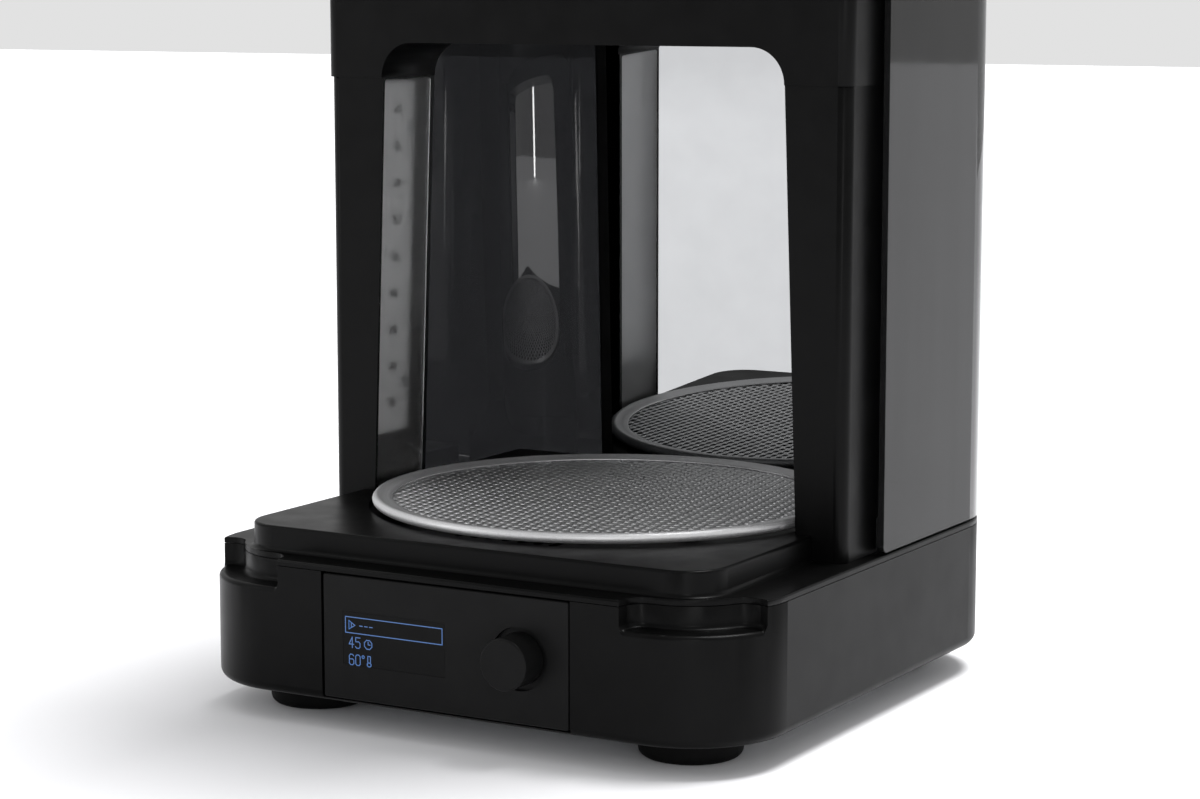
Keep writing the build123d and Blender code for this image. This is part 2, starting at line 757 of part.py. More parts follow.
with BuildPart() as right_led_board:
    with BuildSketch(column_face.offset(-pocket_depth)):
        with Locations((0, led_board_rise)):
            RectangleRounded(led_board_width, led_board_height, 1.4)
    extrude(amount=board_thickness)
    with BuildSketch(column_face.offset(-pocket_depth)):
        with Locations(*[(led_screw_x, rise) for rise in led_screw_rise]):
            Circle(led_screw_radius + 0.1)
    extrude(amount=board_thickness, mode=Mode.SUBTRACT)
right_led_board.part.label = "right_led_board"
export_step(right_led_board.part, "parts/right_led_board.step")

with BuildPart() as right_leds:
    with BuildSketch(column_face.offset(-pocket_depth + board_thickness)):
        with Locations((led_row_x, led_row_rise)):
            with GridLocations(0, led_pitch, 1, led_count):
                Rectangle(3.4, 3.4)
    extrude(amount=1.2)
right_leds.part.label = "right_leds"
export_step(right_leds.part, "parts/right_leds.step")

with BuildPart() as right_led_screws:
    with BuildSketch(column_face.offset(-pocket_depth + board_thickness)):
        with Locations(*[(led_screw_x, rise) for rise in led_screw_rise]):
            Circle(2.6)
    extrude(amount=1.2)
    with BuildSketch(column_face.offset(-pocket_depth - 2.4)):
        with Locations(*[(led_screw_x, rise) for rise in led_screw_rise]):
            Circle(led_screw_radius)
    extrude(amount=2.4 + board_thickness)

with BuildPart() as right_led_window:
    with BuildSketch(column_face.offset(-window_recess)):
        with Locations((0, window_rise)):
            RectangleRounded(window_width - 0.4, window_height - 0.4, 1.3)
    extrude(amount=-window_thickness)
right_led_window.part.label = "right_led_window"
export_step(right_led_window.part, "parts/right_led_window.step")

for name, piece in (
    ("left_column", right_column),
    ("left_led_board", right_led_board),
    ("left_leds", right_leds),
    ("left_led_window", right_led_window),
):
    left = mirrored(piece.part)
    left.label = name
    export_step(left, f"parts/{name}.step")

with BuildPart() as led_screws:
    add(right_led_screws.part)
    mirror(about=Plane.YZ)
led_screws.part.label = "led_screws"
export_step(led_screws.part, "parts/led_screws.step")

column_screws = pan_screws(
    column_screw_places, deck_bottom, small_screw_radius, 10, small_head_radius, small_head_height
)
column_screws.label = "column_screws"
export_step(column_screws, "parts/column_screws.step")

# ---------------------------------------------------------------- head and roof
slot_half = hinge_arm_width / 2 + 1.0
slot_front = hinge_y - 36
arm_slot_floor = hinge_z + 1.5

with BuildPart() as head_housing:
    with BuildSketch(Plane.XY.offset(split_z)) as beam_plan:
        with Locations((0, (head_front + column_rear + 1) / 2)):
            Rectangle(2 * head_half, column_rear + 1 - head_front)
        fillet(beam_plan.vertices().group_by(Axis.Y)[0], radius=head_edge_radius)
    extrude(amount=head_top - split_z)
    with BuildSketch(Plane.XY.offset(chamber_ceiling)):
        with Locations((0, (head_rear + column_rear) / 2)):
            Rectangle(2 * head_half, head_rear - column_rear)
        add(outline(shell_wall + 0.5, Plane.XY), mode=Mode.INTERSECT)
    extrude(amount=head_top - chamber_ceiling)
    with BuildSketch(Plane.XZ.offset(-column_rear - 2)) as arch:
        with Locations((0, arch_top - 30)):
            Rectangle(2 * arch_half, 60)
        fillet(arch.vertices().group_by(Axis.Y)[-1], radius=arch_radius)
    extrude(amount=60, mode=Mode.SUBTRACT)
    # inside: wiring space over the arch and over the chamber
    with Locations((0, (head_front + column_rear + 1) / 2, arch_top + 5.5)):
        Box(2 * (head_half - head_wall), column_rear - head_front - 7, 60,
            align=(Align.CENTER, Align.CENTER, Align.MIN), mode=Mode.SUBTRACT)
    with BuildSketch(Plane.XY.offset(chamber_ceiling + head_wall)):
        with Locations((0, (head_front + head_rear) / 2)):
            Rectangle(2 * (head_half - head_wall), head_rear - head_front - 2 * head_wall)
        add(outline(shell_wall + 0.5 + head_wall, Plane.XY), mode=Mode.INTERSECT)
    extrude(amount=60, mode=Mode.SUBTRACT)
    with Locations((duct_x, duct_y, split_z), (-duct_x, duct_y, split_z)):
        Cylinder(4, 60, mode=Mode.SUBTRACT)
    # slots in the rear wall that the hinge arms lie in when the hood is closed
    with Locations((hinge_x, head_rear, arm_slot_floor), (-hinge_x, head_rear, arm_slot_floor)):
        Box(2 * slot_half, 2 * head_wall + 2, head_top, align=(Align.CENTER, Align.CENTER, Align.MIN),
            mode=Mode.SUBTRACT)
head_housing.part.label = "head_housing"
export_step(head_housing.part, "parts/head_housing.step")

with BuildPart() as roof_cover:
    extrude(outline(0, Plane.XY.offset(head_top)), amount=roof_top - head_top)
    with Locations((0, shell_front - 100, head_top)):
        Box(300, 200, 20, align=(Align.CENTER, Align.CENTER, Align.MIN), mode=Mode.SUBTRACT)
    with BuildSketch(Plane.XY.offset(head_top)) as roof_front:
        with Locations((0, (head_front + 1) / 2)):
            Rectangle(2 * head_half, 1 - head_front)
        fillet(roof_front.vertices().group_by(Axis.Y)[0], radius=head_edge_radius)
    extrude(amount=roof_top - head_top)
    roof_plane = Plane.XY.offset(roof_top)
    band = outline(shell_wall + 0.5, roof_plane) - half_plane(roof_plane, hinge_y - 23.5)
    extrude(band, amount=band_top - roof_top)
    # slots that the hinge arms swing through
    for side in (-1, 1):
        with Locations((side * hinge_x, (slot_front + half + 5) / 2, head_top)):
            Box(2 * slot_half, half + 5 - slot_front, 30, mode=Mode.SUBTRACT)
roof_cover.part.label = "roof_cover"
export_step(roof_cover.part, "parts/roof_cover.step")

# ---------------------------------------------------------------- rear spine, mirror and rear cover
mirror_face = Plane(origin=(0, mirror_foot_y, mirror_bottom), x_dir=(1, 0, 0), z_dir=(0, -1, 0)).rotated(
    (mirror_lean, 0, 0)
)
lean_bottom = plateau_top + 0.1
lean_top = mirror_top + 0.5


def mirror_back(z):
    """Where the spine's leaning front, just behind the mirror, is at height z."""
    slope = -mirror_face.z_dir.Z / mirror_face.z_dir.Y
    return mirror_foot_y + (mirror_thickness + 0.05) / -mirror_face.z_dir.Y + slope * (z - mirror_bottom)


with BuildPart() as rear_spine:
    with BuildSketch(Plane.YZ.offset(-spine_half)):
        with BuildLine():
            Polyline(
                (spine_front, lip_top),
                (spine_front, lean_bottom),
                (mirror_back(lean_bottom), lean_bottom),
                (mirror_back(lean_top), lean_top),
                (spine_front, lean_top),
                (spine_front, head_top),
                (spine_rear, head_top),
                (spine_rear, lip_top),
                close=True,
            )
        make_face()
    extrude(amount=2 * spine_half)
    upright = rear_spine.edges().filter_by(lambda e: abs(e.center().X) > spine_half - 1 and e.length > 150)
    fillet(upright.filter_by(lambda e: e.center().Y < spine_front), radius=1.5)
    with BuildSketch(Plane.XY.offset(lip_top + 8)):
        with Locations((0, (spine_front + spine_rear) / 2 + 2)):
            Rectangle(2 * spine_half - 16, spine_rear - spine_front)
    extrude(amount=head_top - lip_top - 16, mode=Mode.SUBTRACT)
    with Locations(*[(x, y, lip_top - 1) for x, y in spine_screw_places]):
        Cylinder(1.75, 8, align=(Align.CENTER, Align.CENTER, Align.MIN), mode=Mode.SUBTRACT)
rear_spine.part.label = "rear_spine"
export_step(rear_spine.part, "parts/rear_spine.step")

spine_screws = pan_screws(
    spine_screw_places, deck_bottom, small_screw_radius, 9, small_head_radius, small_head_height
)
spine_screws.label = "spine_screws"
export_step(spine_screws, "parts/spine_screws.step")

with BuildPart() as mirror_panel:
    with BuildSketch(mirror_face):
        Rectangle(2 * mirror_half, mirror_top - mirror_bottom, align=(Align.CENTER, Align.MIN))
    extrude(amount=-mirror_thickness)
    chamfer(mirror_panel.faces().sort_by(Axis.Y)[0].edges(), length=0.5)
mirror_panel.part.label = "mirror_panel"
export_step(mirror_panel.part, "parts/mirror_panel.step")

with BuildPart() as rear_cover:
    with BuildSketch(Plane.XZ.offset(-half)):
        with Locations((0, (shell_bottom + shell_top) / 2)):
            RectangleRounded(2 * shell_end - 1, shell_top - shell_bottom, 1)
        with Locations((0, 288)):
            with GridLocations(0, 7, 1, 6):
                SlotOverall(70, 3, mode=Mode.SUBTRACT)
    extrude(amount=half - spine_rear)
rear_cover.part.label = "rear_cover"
export_step(rear_cover.part, "parts/rear_cover.step")

# ---------------------------------------------------------------- smoked rear shells
shell_screw_places = [(59.5, z) for z in (90, 195, 300)]

with BuildPart() as right_shell:
    extrude(outline(0, Plane.XY.offset(shell_bottom)), amount=shell_top - shell_bottom)
    extrude(outline(shell_wall, Plane.XY.offset(shell_bottom)), amount=shell_top, mode=Mode.SUBTRACT)
    with Locations((0, shell_front - 100, 200)):
        Box(300, 200, 400, mode=Mode.SUBTRACT)
    with Locations((shell_end - 100, 100, 200)):
        Box(200, 100, 400, mode=Mode.SUBTRACT)
    with Locations((-150 + shell_end, 0, 200)):
        Box(300, 300, 400, mode=Mode.SUBTRACT)
    # thinner front strip inside, above a low step
    with Locations((half - shell_wall + shell_step_depth / 2, shell_step_y / 2 - 10, shell_step_z)):
        Box(shell_step_depth, shell_step_y + 20, 300, align=(Align.CENTER, Align.CENTER, Align.MIN),
            mode=Mode.SUBTRACT)
    # ledge along the foot, behind the step
    with Locations((half - shell_wall - 0.4, (shell_step_y + 86) / 2, shell_bottom)):
        Box(1.2, 86 - shell_step_y, shell_ledge_top - shell_bottom,
            align=(Align.CENTER, Align.CENTER, Align.MIN))
    front_edge = right_shell.faces().sort_by(Axis.Y)[0]
    fillet(front_edge.edges().filter_by(Axis.X).sort_by(Axis.Z)[0], radius=3.0)
    # notch for the hinge arm, and screw holes
    with Locations((hinge_x, half, shell_top)):
        Box(2 * slot_half, 20, 26, mode=Mode.SUBTRACT)
    with Locations(*[(x, half, z) for x, z in shell_screw_places]):
        Cylinder(1.8, 20, rotation=(90, 0, 0), mode=Mode.SUBTRACT)
right_shell.part.label = "right_shell"
export_step(right_shell.part, "parts/right_shell.step")

left_shell = mirrored(right_shell.part)
left_shell.label = "left_shell"
export_step(left_shell, "parts/left_shell.step")

with BuildPart() as shell_screws:
    with BuildSketch(Plane.XZ.offset(-half - 1.6)):
        with Locations(*[(side * x, z) for side in (-1, 1) for x, z in shell_screw_places]):
            Circle(3.2)
    extrude(amount=1.6)
    with BuildSketch(Plane.XZ.offset(-half)):
        with Locations(*[(side * x, z) for side in (-1, 1) for x, z in shell_screw_places]):
            Circle(1.6)
    extrude(amount=half - spine_rear - 0.05)
    with Locations(*[(side * x, half + 1.6, z) for side in (-1, 1) for x, z in shell_screw_places]):
        Box(4, 1.6, 0.8, mode=Mode.SUBTRACT)
        Box(0.8, 1.6, 4, mode=Mode.SUBTRACT)
shell_screws.part.label = "shell_screws"
export_step(shell_screws.part, "parts/shell_screws.step")

# ---------------------------------------------------------------- hood hinge: fixed side
ear_inner = slot_half + 0.5
ear_thickness = 2.0
bracket_y = 115.5
bracket_depth = 17.6
bracket_bottom = 301.0

with BuildPart() as hinge_brackets:
    for side in (-1, 1):
        for ear in (-1, 1):
            ear_x = side * hinge_x + ear * (ear_inner + ear_thickness / 2)
            with Locations((ear_x, bracket_y, bracket_bottom)):
                Box(ear_thickness, bracket_depth, head_top - bracket_bottom,
                    align=(Align.CENTER, Align.CENTER, Align.MIN))
            with Locations((side * hinge_x + ear * (ear_inner + 4), bracket_y, head_top - 2)):
                Box(8, bracket_depth, 2, align=(Align.CENTER, Align.CENTER, Align.MIN))
        with Locations((side * hinge_x, bracket_y, bracket_bottom)):
            Box(2 * ear_inner + 1, bracket_depth, 2, align=(Align.CENTER, Align.CENTER, Align.MIN))
    with Locations((0, hinge_y, hinge_z)):
        Cylinder(hinge_pin_radius + 0.02, 300, rotation=(0, 90, 0), mode=Mode.SUBTRACT)
hinge_brackets.part.label = "hinge_brackets"
export_step(hinge_brackets.part, "parts/hinge_brackets.step")

with BuildPart() as hinge_pins:
    with Locations((-hinge_x, hinge_y, hinge_z), (hinge_x, hinge_y, hinge_z)):
        Cylinder(hinge_pin_radius, 2 * (ear_inner + ear_thickness) + 2, rotation=(0, 90, 0))
hinge_pins.part.label = "hinge_pins"
export_step(hinge_pins.part, "parts/hinge_pins.step")

# ---------------------------------------------------------------- hood, drawn closed in hood_frame
with BuildPart() as hood_shell:
    ring = outline(0, hood_frame.offset(hood_bottom)) - outline(hood_wall, hood_frame.offset(hood_bottom))
    front_part = ring & half_plane(hood_frame.offset(hood_bottom), hood_rear)
    extrude(front_part, amount=hood_top_z - lid_thickness - hood_bottom)
hood_shell.part.label = "hood_shell"
export_step(hood_shell.part, "parts/hood_shell.step")

hood_screw_places = [(side * hinge_x, hinge_y - back) for side in (-1, 1) for back in (43, 34)]

with BuildPart() as hood_top:
    lid_plane = hood_frame.offset(hood_top_z - lid_thickness)
    lid = outline(0, lid_plane) & half_plane(lid_plane, lid_rear)
    extrude(lid, amount=lid_thickness)
    fillet(hood_top.faces().sort_by(Axis.Y)[-1].edges(), radius=1.5)
    # skirts that close the gap over the roof behind the side walls
    skirt_length = lid_rear - hood_rear - 1
    skirt_centre = hood_rear + 0.5 + skirt_length / 2
    with BuildSketch(lid_plane):
        with Locations(*[(side * (half - hood_wall / 2), skirt_centre) for side in (-1, 1)]):
            Rectangle(hood_wall, skirt_length)
    extrude(amount=-4.4)
    with BuildSketch(lid_plane):
        with Locations(*hood_screw_places):
            Circle(small_screw_radius + 0.05)
    extrude(amount=hood_screw_bite, mode=Mode.SUBTRACT)
hood_top.part.label = "hood_top"
export_step(hood_top.part, "parts/hood_top.step")


def hood_point(y, z):
    """A closed-position point (y, z), on a plane across the hinge axis with the hood raised."""
    return (z - hinge_z + hinge_y, hinge_z + hinge_y - y)


lid_underside = hood_top_z - lid_thickness
arm_plate = 3.2
barrel_radius = 6.5

with BuildPart() as hinge_arms:
    for side in (-1, 1):
        with BuildSketch(Plane.YZ.offset(side * hinge_x - hinge_arm_width / 2)):
            with BuildLine():
                Polyline(
                    hood_point(hinge_y - 47, lid_underside),
                    hood_point(hinge_y - 27, lid_underside),
                    hood_point(hinge_y + 4, hinge_z + 5),
                    hood_point(hinge_y - 4, hinge_z - 5),
                    hood_point(hinge_y - 30, lid_underside - arm_plate),
                    hood_point(hinge_y - 47, lid_underside - arm_plate),
                    close=True,
                )
            make_face()
            with Locations((hinge_y, hinge_z)):
                Circle(barrel_radius)
                Circle(hinge_pin_radius + running_gap, mode=Mode.SUBTRACT)
        extrude(amount=hinge_arm_width)
    with BuildSketch(hood_frame.offset(lid_underside - arm_plate)):
        with Locations(*hood_screw_places):
            Circle(small_screw_radius + 0.05)
    extrude(amount=arm_plate, mode=Mode.SUBTRACT)
hinge_arms.part.label = "hinge_arms"
export_step(hinge_arms.part, "parts/hinge_arms.step")

with BuildPart() as hood_screws:
    with BuildSketch(hood_frame.offset(lid_underside - arm_plate)):
        with Locations(*hood_screw_places):
            Circle(small_head_radius)
    extrude(amount=-1.6)
    with BuildSketch(hood_frame.offset(lid_underside - arm_plate)):
        with Locations(*hood_screw_places):
            Circle(small_screw_radius)
    extrude(amount=arm_plate + hood_screw_bite - 0.1)
hood_screws.part.label = "hood_screws"
export_step(hood_screws.part, "parts/hood_screws.step")

with BuildPart() as hood_magnet:
    with BuildSketch(hood_frame.offset(hood_bottom + 0.5)):
        with Locations((0, -half + hood_wall + 1.5)):
            Rectangle(20, 3)
    extrude(amount=6)
hood_magnet.part.label = "hood_magnet"
export_step(hood_magnet.part, "parts/hood_magnet.step")
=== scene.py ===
"""Looks for the UV curing lamp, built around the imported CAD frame.

Metres, +Z up, front towards -Y. CAD nodes keep their shapes, apart from softened edges, and get
procedural materials. The turntable's mesh and rim are replaced by finer pieces, and the display
gets its lit graphics.

Several IORs, the rim's metallic value and the mirror's reflectance are look values, chosen for
brightness under this file's lights. They aren't the real constants of these materials.
"""

import json
import math

import bmesh
import bpy
from mathutils import Euler, Matrix, Vector


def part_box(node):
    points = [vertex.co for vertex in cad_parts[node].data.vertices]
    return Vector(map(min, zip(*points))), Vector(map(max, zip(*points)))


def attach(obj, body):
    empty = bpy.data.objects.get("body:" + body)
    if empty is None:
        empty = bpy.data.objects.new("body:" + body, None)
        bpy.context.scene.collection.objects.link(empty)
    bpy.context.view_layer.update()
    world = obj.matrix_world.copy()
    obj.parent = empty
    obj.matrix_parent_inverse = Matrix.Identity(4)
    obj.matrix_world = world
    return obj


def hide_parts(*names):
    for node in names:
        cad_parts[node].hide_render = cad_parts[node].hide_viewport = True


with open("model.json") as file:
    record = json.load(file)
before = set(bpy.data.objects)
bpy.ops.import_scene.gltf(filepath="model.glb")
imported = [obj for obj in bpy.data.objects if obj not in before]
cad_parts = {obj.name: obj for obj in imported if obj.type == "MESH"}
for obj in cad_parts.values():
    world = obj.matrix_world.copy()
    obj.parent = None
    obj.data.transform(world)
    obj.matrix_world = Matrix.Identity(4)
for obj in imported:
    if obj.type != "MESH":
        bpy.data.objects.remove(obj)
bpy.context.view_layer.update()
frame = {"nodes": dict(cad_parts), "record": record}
nodes = frame["nodes"]
MM = 0.001


# ---------------------------------------------------------------- material helpers
class Look:
    """One Principled material and the nodes that feed it."""

    def __init__(self, name, metallic=0.0, ior=1.46):
        self.material = bpy.data.materials.new(name)
        self.material.use_nodes = True
        self.tree = self.material.node_tree
        self.shader = self.tree.nodes["Principled BSDF"]
        self.shader.inputs["Metallic"].default_value = metallic
        self.shader.inputs["IOR"].default_value = ior
        self.coords = self.tree.nodes.new("ShaderNodeTexCoord").outputs["Object"]

    def node(self, kind, **settings):
        made = self.tree.nodes.new(kind)
        for key, value in settings.items():
            setattr(made, key, value)
        return made

    def link(self, a, b):
        self.tree.links.new(a, b)

    def noise(self, scale, detail=2.0, stretch=None, roughness=0.5):
        """Noise with features about 1/scale metres across, drawn out along an axis by stretch."""
        made = self.node("ShaderNodeTexNoise")
        made.inputs["Scale"].default_value = scale
        made.inputs["Detail"].default_value = detail
        made.inputs["Roughness"].default_value = roughness
        if stretch:
            mapping = self.node("ShaderNodeMapping")
            mapping.inputs["Scale"].default_value = stretch
            self.link(self.coords, mapping.inputs["Vector"])
            self.link(mapping.outputs["Vector"], made.inputs["Vector"])
        else:
            self.link(self.coords, made.inputs["Vector"])
        return made.outputs["Fac"]

    def span(self, value, low, high, start=0.3, end=0.7):
        """value's range start..end mapped to low..high."""
        made = self.node("ShaderNodeMapRange")
        for key, number in (("From Min", start), ("From Max", end), ("To Min", low), ("To Max", high)):
            made.inputs[key].default_value = number
        self.link(value, made.inputs["Value"])
        return made.outputs["Result"]

    def math(self, operation, a, b=None):
        made = self.node("ShaderNodeMath", operation=operation)
        for socket, value in zip(made.inputs, (a, b)):
            if value is None:
                continue
            if isinstance(value, (int, float)):
                socket.default_value = value
            else:
                self.link(value, socket)
        return made.outputs["Value"]

    def colours(self, value, dark, light, start=0.3, end=0.7):
        """A colour between dark and light, by value."""
        made = self.node("ShaderNodeValToRGB")
        made.color_ramp.elements[0].position = start
        made.color_ramp.elements[1].position = end
        made.color_ramp.elements[0].color = (*dark, 1)
        made.color_ramp.elements[1].color = (*light, 1)
        self.link(value, made.inputs["Fac"])
        return made.outputs["Color"]

    def blend(self, factor, first, second):
        """first where factor is 0, second where it is 1; each a colour or a socket."""
        made = self.node("ShaderNodeMix", data_type="RGBA")
        self.link(factor, made.inputs["Factor"])
        for socket, value in ((made.inputs[6], first), (made.inputs[7], second)):
            if isinstance(value, tuple):
                socket.default_value = (*value, 1)
            else:
                self.link(value, socket)
        return made.outputs[2]

    def bump(self, height, distance, strength=1.0, under=None):
        """A normal for height, distance metres deep, on top of the normal under."""
        made = self.node("ShaderNodeBump")
        made.inputs["Distance"].default_value = distance
        made.inputs["Strength"].default_value = strength
        self.link(height, made.inputs["Height"])
        if under:
            self.link(under, made.inputs["Normal"])
        return made.outputs["Normal"]

    def axes(self):
        """The object's own X, Y and Z."""
        made = self.node("ShaderNodeSeparateXYZ")
        self.link(self.coords, made.inputs["Vector"])
        return made.outputs

    def set(self, colour=None, roughness=None, normal=None):
        """Feeds the shader from colours, numbers or sockets, and returns the material."""
        for key, value in (("Base Color", colour), ("Roughness", roughness), ("Normal", normal)):
            if value is None:
                continue
            socket = self.shader.inputs[key]
            if isinstance(value, tuple):
                socket.default_value = (*value, 1)
            elif isinstance(value, float):
                socket.default_value = value
            else:
                self.link(value, socket)
        return self.material


def grey(level):
    """A very slightly cool grey."""
    return (level, level, level * 1.02)


def moulded(name, dark, light, smooth, rough, texture=0.00003, grain=2600.0, ior=1.18):
    """Satin moulded plastic: fine spark-eroded grain, slight flow marks and handling gloss.

    The default ior is a look value, well below the 1.5 of real plastic.
    """
    look = Look(name, ior=ior)
    flow = look.noise(14.0, 4.0)
    fine = look.noise(grain, 1.0)
    blotch = look.noise(70.0, 3.0)
    gloss = look.math("ADD", look.span(blotch, smooth, rough), look.span(flow, -0.03, 0.03))
    swell = look.bump(flow, 0.0004, 0.25)
    return look.set(
        look.colours(blotch, grey(dark), grey(light)),
        gloss,
        look.bump(fine, texture, 0.6, swell),
    )


def metal(name, dark, light, smooth, rough, stretch=(1, 1, 12), scale=420.0, depth=0.00003):
    """Metal with fine lines drawn out across stretch."""
    look = Look(name, metallic=1.0)
    lines = look.noise(scale, 3.0, stretch)
    cloud = look.noise(55.0, 3.0)
    return look.set(
        look.colours(look.math("MULTIPLY", lines, look.span(cloud, 0.85, 1.1)), dark, light),
        look.span(lines, smooth, rough),
        look.bump(lines, depth, 0.5),
    )


def lathed_metal(name, dark, light, smooth, rough):
    """Metal with lines running round the Z axis, and a fine grain over them.

    It is less than fully metallic, a look value that lifts its shaded side.
    """
    look = Look(name, metallic=0.75)
    x, y, z = look.axes()
    x_squared = look.math("MULTIPLY", x, x)
    y_squared = look.math("MULTIPLY", y, y)
    radius = look.math("SQRT", look.math("ADD", x_squared, y_squared))
    joined = look.node("ShaderNodeCombineXYZ")
    look.link(radius, joined.inputs["X"])
    look.link(z, joined.inputs["Z"])
    lines = look.node("ShaderNodeTexNoise")
    lines.inputs["Scale"].default_value = 1600.0
    lines.inputs["Detail"].default_value = 2.0
    look.link(joined.outputs["Vector"], lines.inputs["Vector"])
    grain = look.noise(1500.0, 2.0)
    cloud = look.noise(60.0, 3.0)
    half_lines = look.math("MULTIPLY", lines.outputs["Fac"], 0.5)
    half_grain = look.math("MULTIPLY", grain, 0.5)
    mixed = look.math("ADD", half_lines, half_grain)
    gloss = look.math("ADD", look.span(mixed, smooth, rough), look.span(cloud, -0.03, 0.03))
    return look.set(
        look.colours(mixed, dark, light),
        gloss,
        look.bump(mixed, 0.00003, 0.7),
    )


def smoked(name):
    """Dark smoked acrylic: glossy, slightly wavy, letting a little light through each face.

    Faces turned towards the middle of the machine get a higher IOR than outer ones. Both are look
    values, and neither is the 1.49 of real acrylic.
    """
    outer_ior = 1.29
    inner_ior = 1.6
    clear_share = 0.11
    look = Look(name)
    wave = look.noise(26.0, 2.0, (1.0, 1.0, 0.06))
    dust = look.noise(900.0, 2.0)
    marks = look.noise(40.0, 4.0)
    look.set(
        look.colours(marks, grey(0.006), grey(0.009)),
        look.math("ADD", look.span(marks, 0.02, 0.04), look.span(dust, 0.0, 0.004, 0.55, 0.75)),
        look.bump(wave, 0.0012, 0.3),
    )
    surface = look.node("ShaderNodeTexCoord")
    facing = look.node("ShaderNodeVectorMath", operation="DOT_PRODUCT")
    look.link(surface.outputs["Object"], facing.inputs[0])
    look.link(surface.outputs["Normal"], facing.inputs[1])
    inner = look.math("LESS_THAN", facing.outputs["Value"], 0.0)
    look.link(look.span(inner, outer_ior, inner_ior), look.shader.inputs["IOR"])
    clear = look.node("ShaderNodeBsdfTransparent")
    clear.inputs["Color"].default_value = (0.86, 0.87, 0.9, 1)
    mix = look.node("ShaderNodeMixShader")
    mix.inputs["Fac"].default_value = clear_share
    look.link(look.shader.outputs["BSDF"], mix.inputs[1])
    look.link(clear.outputs["BSDF"], mix.inputs[2])
    output = look.tree.nodes["Material Output"]
    look.link(mix.outputs["Shader"], output.inputs["Surface"])
    return look.material


def rubber(name):
    """Matt black rubber, a little dusty. Its ior is a look value, below real rubber's 1.5."""
    look = Look(name, ior=1.18)
    grain = look.noise(1800.0, 3.0)
    dust = look.noise(90.0, 4.0)
    return look.set(
        look.colours(dust, grey(0.002), grey(0.006), 0.35, 0.8),
        look.span(dust, 0.55, 0.72),
        look.bump(grain, 0.00008, 0.7),
    )


def mirror_sheet(name):
    """Mirror with very slight unevenness. Its reflectance is a look value, below a real mirror's."""
    look = Look(name, metallic=1.0)
    sag = look.noise(5.0, 1.0)
    haze = look.noise(60.0, 4.0)
    return look.set(
        look.colours(haze, (0.4, 0.405, 0.408), (0.42, 0.425, 0.428)),
        look.span(haze, 0.004, 0.02, 0.4, 0.8),
        look.bump(sag, 0.0003, 0.08),
    )


def satin_window(name):
    """Satin clear cover: blurs what is behind it and takes a soft sheen."""
    look = Look(name, ior=1.45)
    cloud = look.noise(120.0, 3.0)
    frost = look.noise(2200.0, 2.0)
    look.shader.inputs["Transmission Weight"].default_value = 1.0
    return look.set(
        look.colours(cloud, (0.95, 0.95, 0.955), (0.98, 0.98, 0.985)),
        look.span(cloud, 0.28, 0.3),
        look.bump(frost, 0.00002, 0.4),
    )


def led_board(name):
    """White solder mask, faintly uneven, as over copper areas and fine tracks."""
    look = Look(name, ior=1.5)
    cloud = look.noise(60.0, 3.0)
    tracks = look.noise(500.0, 1.0, (1, 0.2, 1))
    tone = look.math("ADD", look.math("MULTIPLY", cloud, 0.7), look.math("MULTIPLY", tracks, 0.3))
    return look.set(
        look.colours(tone, (0.8, 0.8, 0.795), (0.88, 0.88, 0.875)),
        look.span(cloud, 0.35, 0.5),
        look.bump(tracks, 0.00002, 0.4),
    )


def circuit_board(name):
    """Green solder mask over a cell pattern that stands for tracks. It has no pads."""
    look = Look(name, ior=1.5)
    tracks = look.node("ShaderNodeTexVoronoi", distance="MANHATTAN", feature="DISTANCE_TO_EDGE")
    tracks.inputs["Scale"].default_value = 240.0
    look.link(look.coords, tracks.inputs["Vector"])
    line = look.span(tracks.outputs["Distance"], 1.0, 0.0, 0.03, 0.07)
    cloud = look.noise(50.0, 3.0)
    base = look.colours(cloud, (0.006, 0.05, 0.02), (0.01, 0.075, 0.03))
    return look.set(
        look.blend(line, base, (0.02, 0.16, 0.06)),
        look.span(cloud, 0.28, 0.4),
        look.bump(line, 0.00003, 0.5),
    )


def grained_floor(name):
    """Plain pale floor with a very faint cloudiness."""
    look = Look(name, ior=1.4)
    cloud = look.noise(3.0, 3.0)
    return look.set(look.colours(cloud, grey(0.9), grey(0.915)), 0.85)


black = moulded("satin_black_moulding", 0.0012, 0.0024, 0.3, 0.37)
panel = moulded("satin_fascia", 0.0055, 0.0075, 0.36, 0.42, 0.00002, 3400.0)
display = moulded("hidden_display_window", 0.004, 0.0055, 0.33, 0.38, 0.00001, 3400.0)
knob_look = moulded("satin_knob", 0.005, 0.007, 0.32, 0.4, 0.00002, 3000.0)
duct = moulded("heat_resistant_moulding", 0.02, 0.03, 0.5, 0.6, ior=1.4)
parts_black = moulded("black_component", 0.012, 0.03, 0.35, 0.55, 0.00005, 1200.0)
white_part = moulded("white_engineering_plastic", 0.5, 0.6, 0.4, 0.5)
zinc = metal("zinc_plated_steel", (0.42, 0.43, 0.44), (0.62, 0.63, 0.64), 0.28, 0.42)
can = metal("pressed_steel_can", (0.24, 0.245, 0.25), (0.36, 0.365, 0.37), 0.34, 0.5)
fins = metal("heater_fins", (0.5, 0.5, 0.5), (0.68, 0.68, 0.68), 0.3, 0.45, (12, 1, 1))
chip = moulded("led_package", 0.04, 0.07, 0.15, 0.25, ior=1.5)
mesh_look = metal(
    "expanded_aluminium", (0.72, 0.72, 0.73), (0.9, 0.9, 0.91), 0.34, 0.5, stretch=(1, 1, 1), scale=900.0
)
rim_look = lathed_metal("rolled_aluminium", (0.7, 0.7, 0.71), (0.86, 0.86, 0.87), 0.4, 0.6)

